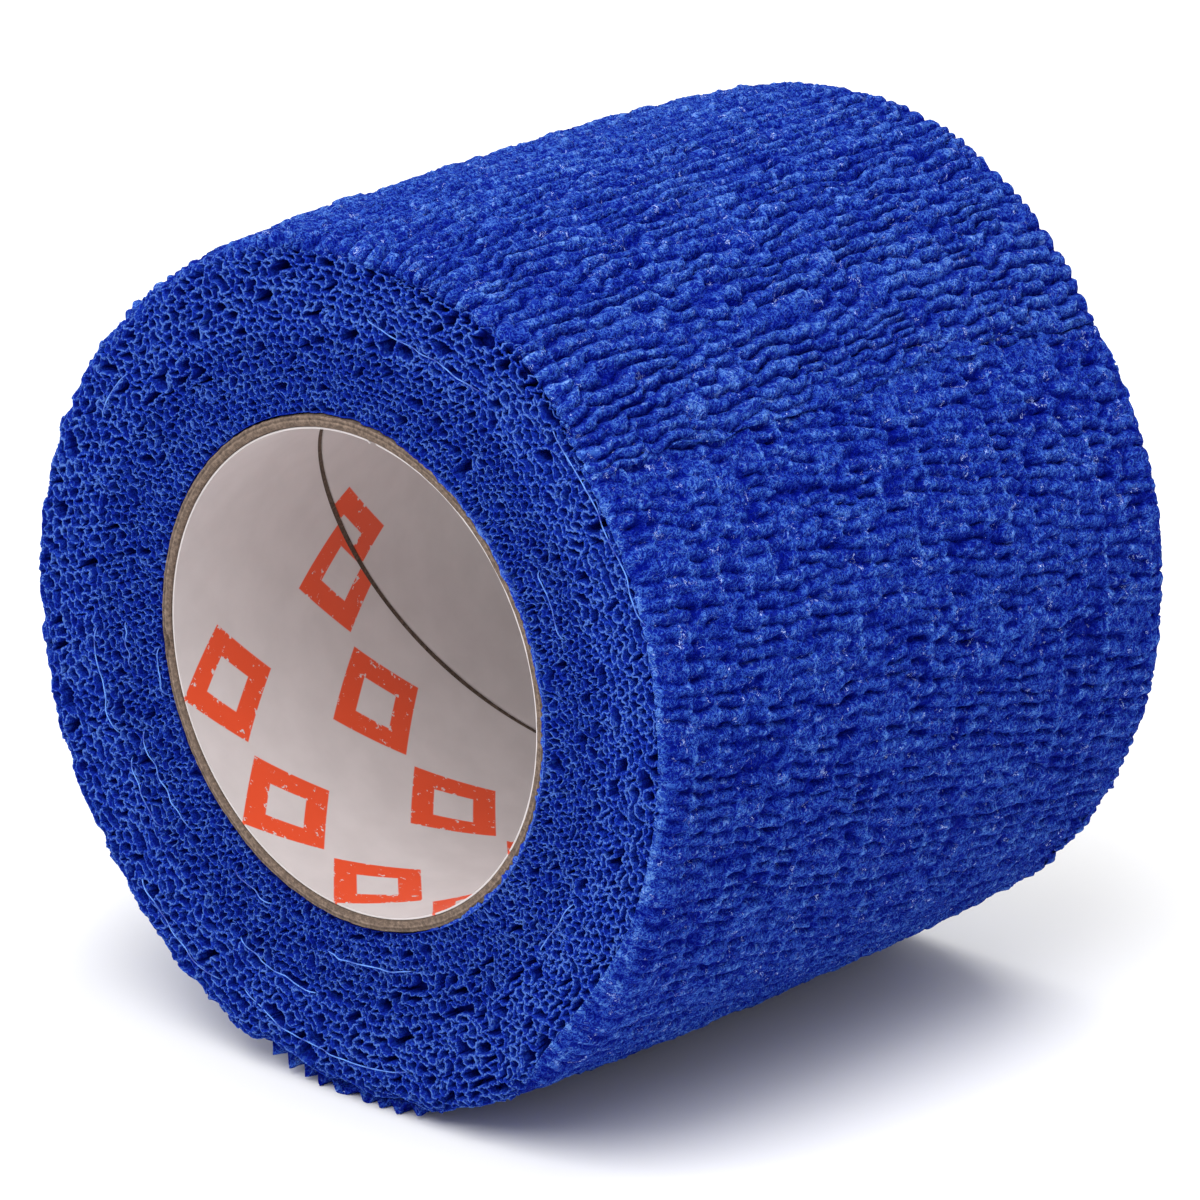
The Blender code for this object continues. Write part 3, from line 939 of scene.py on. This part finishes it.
def endNetwork(name, atFront, innerHalf, finish):
    # the folded edges of the inner or the outer turns on one end
    seed = cells["seeds"][0 if atFront else 1]
    plan = cells["front" if atFront else "back"]
    corner, meanRadius = form["corner"], cells["meanRadius"]
    inner = coreRadius + cells["clearance"]
    rng = np.random.default_rng(seed)
    ring, base, corners = brickRing(rng, **plan)
    limit = base + plan["splitTurn"]
    unwanted = [face for face in ring.faces if (face.calc_center_median().xy.length < limit) != innerHalf]
    flat = np.array([vert.co[:2] for vert in ring.verts])
    level = (np.hypot(flat[:, 0], flat[:, 1]) - base) / plan["turns"]
    angle = np.arctan2(flat[:, 1], flat[:, 0])
    length = networkLength(angle, networkEdge(angle, atFront) - corner - inner, atFront)
    # the inner turns lie a little closer
    along = level * (0.82 + 0.18 * level) * length
    spots = bowedWalls(ring, corners, np.stack([angle * meanRadius, along], -1), rng)
    u, along = spots[:, 0], spots[:, 1]
    # a fine drift makes the walls curly; it dies away at the core and at the rim
    curlRound, curlAcross, curlLength = cells["curl"]
    free = np.minimum(np.minimum(along, length - along) / curlLength, 1.0).clip(0, 1)
    angle = (u + curlRound * free * drift(u / curlLength, along / curlLength, seed + 4)) / meanRadius
    along = along + curlAcross * free * drift(u / curlLength, along / curlLength, seed + 5)
    flatPart = networkEdge(angle, atFront) - corner - inner
    bend = np.clip((along - flatPart) / corner, 0, None)
    radius = inner + np.minimum(along, flatPart) + corner * np.sin(bend)
    rough = withWaves(0, u, along, cells["rough"], seed) + cells["roughPoint"] * rng.uniform(-1, 1, len(u))
    # at the core they lean over the board's edge on the right, raggedly
    lean = ease(np.cos(angle), 0.1, 0.7) * np.exp(-((along / 0.45) ** 2))
    rough = rough * (1 - 0.8 * lean)
    ragged = 0.12 * drift(angle * 22, 0.5, seed + 8) + 0.16 * drift(angle * 62, 0.5, seed + 9)
    radius = radius - lean * (0.24 + ragged)
    # the last of them dip under the last turn's edge
    rough = rough + cells["dip"] * ease(along, length - cells["under"], length)
    fromEnd = corner * (1 - np.cos(bend)) + cells["set"] - 0.34 * lean + rough * np.cos(bend)
    radius = radius - rough * np.sin(bend)
    moveTo(ring, place3d(angle, radius, fromEnd if atFront else width - fromEnd))
    free = [vert for vert in ring.verts if not vert.is_boundary]
    bmesh.ops.smooth_vert(ring, verts=free, factor=0.2, use_axis_x=True, use_axis_y=True, use_axis_z=True)
    onBorder = np.array([vert.is_boundary for vert in ring.verts])
    # a painted highlight along the tops of the walls, less on the border, more where the cells lean over the
    # board
    giveValues(ring, "paintedEdgeShading", np.where(onBorder, 0.3 + 0.5 * lean, 1.0))
    giveValues(ring, "turned", bend)
    bmesh.ops.delete(ring, geom=unwanted, context="FACES")
    bmesh.ops.recalc_face_normals(ring, faces=ring.faces)
    middle = Vector((axis.x, 0, axis.z)) * mm
    hollowCells(ring, middle, 1 if atFront else -1, cells["wall"][0 if innerHalf else 1], rng)
    closeBehind(ring, middle, inner, atFront)
    addPiece(name, ring, finish, "bandage_roll", sharp=75)


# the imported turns, in mm, and the steps round them
wound = {"clearance": 0.1, "outer": 27.5, "sunk": 2.6, "steps": 180}


def woundBody(finish):
    # the imported turns inside, out of sight behind the cells, in the darkest painted shade
    inner, outer = coreRadius + wound["clearance"], wound["outer"]
    low, high = cells["depth"] + wound["clearance"], width - cells["depth"] - wound["clearance"]
    profile = ((inner, low), (outer, low), (outer, high), (inner, high))
    bm, angle, radius, y = spunRing(profile, wound["steps"])
    radius = np.where(radius > outer - 1, evenRadius(angle, y / width) - wound["sunk"], radius)
    moveTo(bm, place3d(angle, radius, y))
    giveValues(bm, "paintedEdgeShading", np.zeros(len(y)))
    bmesh.ops.recalc_face_normals(bm, faces=bm.faces)
    addPiece("woundBody", bm, finish, "bandage_roll", sharp=40)


# elastic threads that lie bare on the ends, mm and degrees
strands = {
    "radius": 0.045,
    "edge": (27.9, 20, 50),  # along the folded edge on the right of the front end
    "set": (-0.12, 0.05),  # how far in from the end that one lies, and the others
    # radius and first and last angle of each bare stretch on the front end
    "front": (
        (28.4, 224, 243), (27.5, 246, 280), (24.2, 186, 204), (21.2, 184, 193), (18.6, 188, 199),
        (21.7, 204, 225), (24.0, 208, 221), (20.0, 236, 247), (20.5, 262, 285), (23.9, 243, 261),
        (24.8, 62, 87), (20.4, 20, 34), (26.4, 142, 152), (22.6, 318, 331),
    ),
    "dip": 0.5,  # how far their ends dip in among the cells
}


def bareThreads(finish):
    curve = bpy.data.curves.new("bareThreads", "CURVE")
    curve.dimensions = "3D"
    curve.bevel_depth = strands["radius"] * mm
    curve.bevel_resolution = 1
    curve.use_fill_caps = True
    onEdge, among = strands["set"]
    runs = [(0.0, onEdge, *strands["edge"])]
    runs += [(0.0, among, *run) for run in strands["front"]]
    runs += [(width, among, radius, 180 - last, 180 - first) for radius, first, last in strands["front"][1:]]
    for number, (endY, inside, radius, first, last) in enumerate(runs):
        count = int(abs(last - first) * 1.5) + 4
        spread = np.linspace(0, 1, count)
        point = spread * count
        wander = radius + 0.07 * drift(point / 5, number, 41) + 0.2 * drift(point / 25, number, 43)
        dip = strands["dip"] * np.abs(2 * spread - 1) ** 8
        inwards = inside + dip + 0.16 * drift(point / 4, number, 42)
        angle = np.radians(first + (last - first) * spread)
        points = place3d(angle, wander, inwards if endY == 0 else endY - inwards)
        spline = curve.splines.new("POLY")
        spline.points.add(count - 1)
        for target, place in zip(spline.points, points):
            target.co = (*place, 1)
    guide = bpy.data.objects.new("threadGuide", curve)
    bpy.context.scene.collection.objects.link(guide)
    mesh = bpy.data.meshes.new_from_object(guide.evaluated_get(bpy.context.evaluated_depsgraph_get()))
    bpy.data.objects.remove(guide)
    bm = bmesh.new()
    bm.from_mesh(mesh)
    bmesh.ops.remove_doubles(bm, verts=bm.verts, dist=0.0005 * mm)
    bmesh.ops.recalc_face_normals(bm, faces=bm.faces)
    addPiece("bareThreads", bm, finish, "bandage_roll")


core = {
    "steps": 240,
    "wall": 0.8,
    "roundedEdge": 0.12,
    "slitAngle": 187,  # degrees, as is its reach
    "slitReach": 2.2,
    "slitDepth": 0.5,
    "linerGap": 0.04,
    "linerWall": 0.12,
    "linerSet": 0.2,  # how far the paper stops short of the ends
    "seamStart": math.radians(82),
    "seamPitch": 64.3,
    "seamGap": 0.5,
}


def boardTube(finish):
    # the board tube: its cut edges are slightly rough, with a small slit between two plies on the left
    outer, inner, rounded = coreRadius, coreRadius - core["wall"], core["roundedEdge"]
    middle = (outer + inner) / 2
    profile = ((inner, rounded), (inner + rounded, 0), (middle, 0), (outer - rounded, 0), (outer, rounded))
    profile += tuple((r, width - y) for r, y in reversed(profile))
    bm, angle, radius, y = spunRing(profile, core["steps"])
    rough = 0.03 * drift(angle * 40, radius * 3, 51) + 0.04 * drift(angle * 9, 0, 52)
    slit = core["slitDepth"] * near(angle, core["slitAngle"], core["slitReach"])
    slit = slit * (np.abs(radius - middle) < 0.05)
    y = np.where(y < 1, np.maximum(y + rough + slit, 0.0), np.minimum(y + rough, width))
    giveValues(bm, "ply", radius)
    radius = radius + np.where(radius > middle, 0.03, 0) * drift(angle * 55, y, 53)
    moveTo(bm, place3d(angle, radius, y))
    bmesh.ops.recalc_face_normals(bm, faces=bm.faces)
    addPiece("boardTube", bm, finish, "core_tube", sharp=50)


def paperLiner(finish):
    # the white inner ply: one slanted strip whose edges leave the board bare along their seam
    outer = coreRadius - core["wall"] - core["linerGap"]
    inner = outer - core["linerWall"]
    steps = 2 * core["steps"]
    first = core["seamStart"] - turn
    last = core["seamStart"] + turn * width / core["seamPitch"]
    bm = bmesh.new()
    bmesh.ops.create_grid(bm, x_segments=steps - 2, y_segments=4, size=1)
    flat = np.array([vert.co[:2] for vert in bm.verts])
    corner = np.rint((flat[:, 1] + 1) * 2).astype(int) % 4  # the strip's section closes on its first corner
    angle = first + (last - first) * ((flat[:, 0] + 1) / 2 * (steps - 2) + 1) / steps
    seam = core["seamPitch"] * (angle - core["seamStart"]) / turn
    waver = 0.05 * drift(seam / 4, 0, 61)
    low = np.maximum(core["linerSet"], seam + core["seamGap"] / 2 + waver)
    high = np.minimum(width - core["linerSet"], seam + core["seamPitch"] - core["seamGap"] / 2 + waver)
    y = np.where(corner < 2, low, high)
    radius = np.where((corner == 0) | (corner == 3), inner, outer)
    uv = bm.loops.layers.uv.new("sheetMm")
    moveTo(bm, place3d(angle, radius, y))
    for vert, place in zip(bm.verts, np.stack([angle * inner, y], -1).tolist()):
        for loop in vert.link_loops:
            loop[uv].uv = place
    weld(bm)
    addPiece("paperLiner", bm, finish, "core_liner", sharp=40)


shot = {
    "azimuth": 43.04,
    "elevation": 19.83,
    "distance": 746.7,  # mm from the middle of the roll
    "lens": 332.7,
    "aside": -0.63,  # how far the middle of the roll stands off the picture's centre, mm
    "above": -1.26,
    # name, place in metres, size in metres, watts
    "lights": (
        ("keyPanel", (0.2, -0.5, 0.8), 0.7, 7.6),
        ("leftPanel", (-0.7, -0.5, 0.35), 0.6, 2.5),
        ("topPanel", (0.15, 0.2, 0.9), 0.5, 4.0),
    ),
    "lightsAim": (0, 0, 0.03),
    "roomLight": 0.6,
    "floor": "#f4f4f4",
    "floorReach": 3,  # metres each way
}


def addCamera():
    az, el = math.radians(shot["azimuth"]), math.radians(shot["elevation"])
    right = Vector((math.cos(az), math.sin(az), 0))
    back = Vector((math.sin(az) * math.cos(el), -math.cos(az) * math.cos(el), math.sin(el)))
    up = back.cross(right)
    middle = Vector((axis.x, axis.y + width / 2, axis.z))
    aim = middle + right * shot["aside"] + up * shot["above"]
    camera = bpy.data.objects.new("camera", bpy.data.cameras.new("camera"))
    camera.data.lens = shot["lens"]
    camera.data.sensor_width = 36
    camera.data.clip_start = 0.01
    camera.data.clip_end = 20
    camera.location = (aim + back * shot["distance"]) * mm
    camera.rotation_mode = "QUATERNION"
    camera.rotation_quaternion = (-back).to_track_quat("-Z", "Y")
    bpy.context.scene.collection.objects.link(camera)
    bpy.context.scene.camera = camera


def addLights():
    for name, place, size, power in shot["lights"]:
        light = bpy.data.lights.new(name, "AREA")
        light.shape = "SQUARE"
        light.size = size
        light.energy = power
        lamp = bpy.data.objects.new(name, light)
        lamp.location = place
        lamp.rotation_mode = "QUATERNION"
        lamp.rotation_quaternion = (Vector(shot["lightsAim"]) - Vector(place)).to_track_quat("-Z", "Y")
        bpy.context.scene.collection.objects.link(lamp)
    world = bpy.data.worlds.new("studio")
    world.use_nodes = True
    background = world.node_tree.nodes["Background"]
    background.inputs["Color"].default_value = (1, 1, 1, 1)
    background.inputs["Strength"].default_value = shot["roomLight"]
    bpy.context.scene.world = world


def addFloor():
    bm = bmesh.new()
    bmesh.ops.create_grid(bm, x_segments=1, y_segments=1, size=shot["floorReach"])
    mesh = bpy.data.meshes.new("floor")
    bm.to_mesh(mesh)
    bm.free()
    mesh.materials.append(newMaterial("paleFloor", Roughness=0.9, Base_Color=linear(shot["floor"]))[0])
    floor = bpy.data.objects.new("floor", mesh)
    bpy.context.scene.collection.objects.link(floor)


print("the last turn, in three stretches")
cloth = crepedCloth()
edges = cutEdges()
tail = form["tailAngle"]
tuckedUnder = 0.05  # how far the last turn goes on under the tail, radians
pastTop = math.radians(116)
underneath = math.radians(302)
# name, first and last angle, faces round the stretch and across it
stretches = (
    ("outerTurnTop", tail, pastTop, 350, 200),
    ("outerTurnBack", pastTop, underneath, 420, 110),
    ("outerTurnLow", underneath, tail + turn + tuckedUnder, 440, 200),
)
for stretch in stretches:
    outerTurn(*stretch, cloth)

print("the wound turns on the ends")
endNetwork("frontInnerCells", True, True, edges)
endNetwork("frontOuterCells", True, False, edges)
endNetwork("backInnerCells", False, True, edges)
endNetwork("backOuterCells", False, False, edges)
woundBody(edges)
bareThreads(threadRubber())

print("the core")
boardTube(coreBoard())
paperLiner(linerPaper())

print("camera, light and floor")
addCamera()
addLights()
addFloor()
bpy.context.scene.view_settings.view_transform = "Standard"
bpy.context.scene.view_settings.look = "None"
